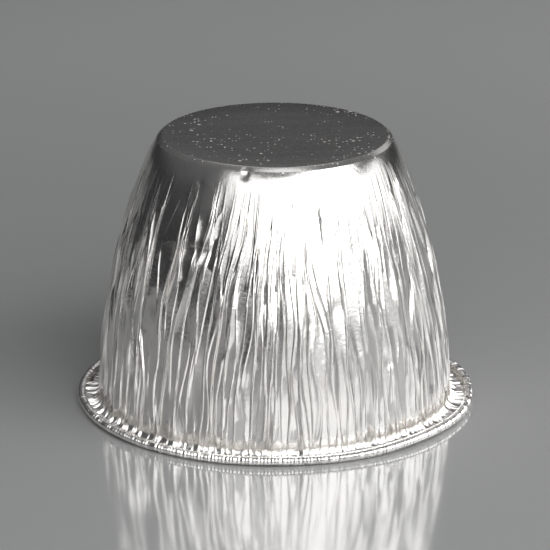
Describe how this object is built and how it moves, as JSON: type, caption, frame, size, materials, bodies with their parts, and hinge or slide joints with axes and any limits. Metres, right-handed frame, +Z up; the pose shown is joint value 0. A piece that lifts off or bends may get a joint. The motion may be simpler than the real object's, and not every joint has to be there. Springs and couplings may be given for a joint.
{
  "type": "foil pudding basin",
  "caption": "Deep round foil pudding basin with a flat base, a pleated barrel-shaped wall, a narrow pleated flange and a rolled edge, standing upside down on its rim.",
  "frame": {"origin": "middle of the open mouth, on the plane that the rim rests on", "axes": "+Z up along the basin's axis of symmetry, from the mouth to the flat base; the basin stands upside down"},
  "size_m": [0.12, 0.12, 0.0825],
  "materials": {
    "foil": "bright rolled foil with a fine grain"
  },
  "bodies": {
    "root": {"basin": "foil"}
  },
  "joints": []
}
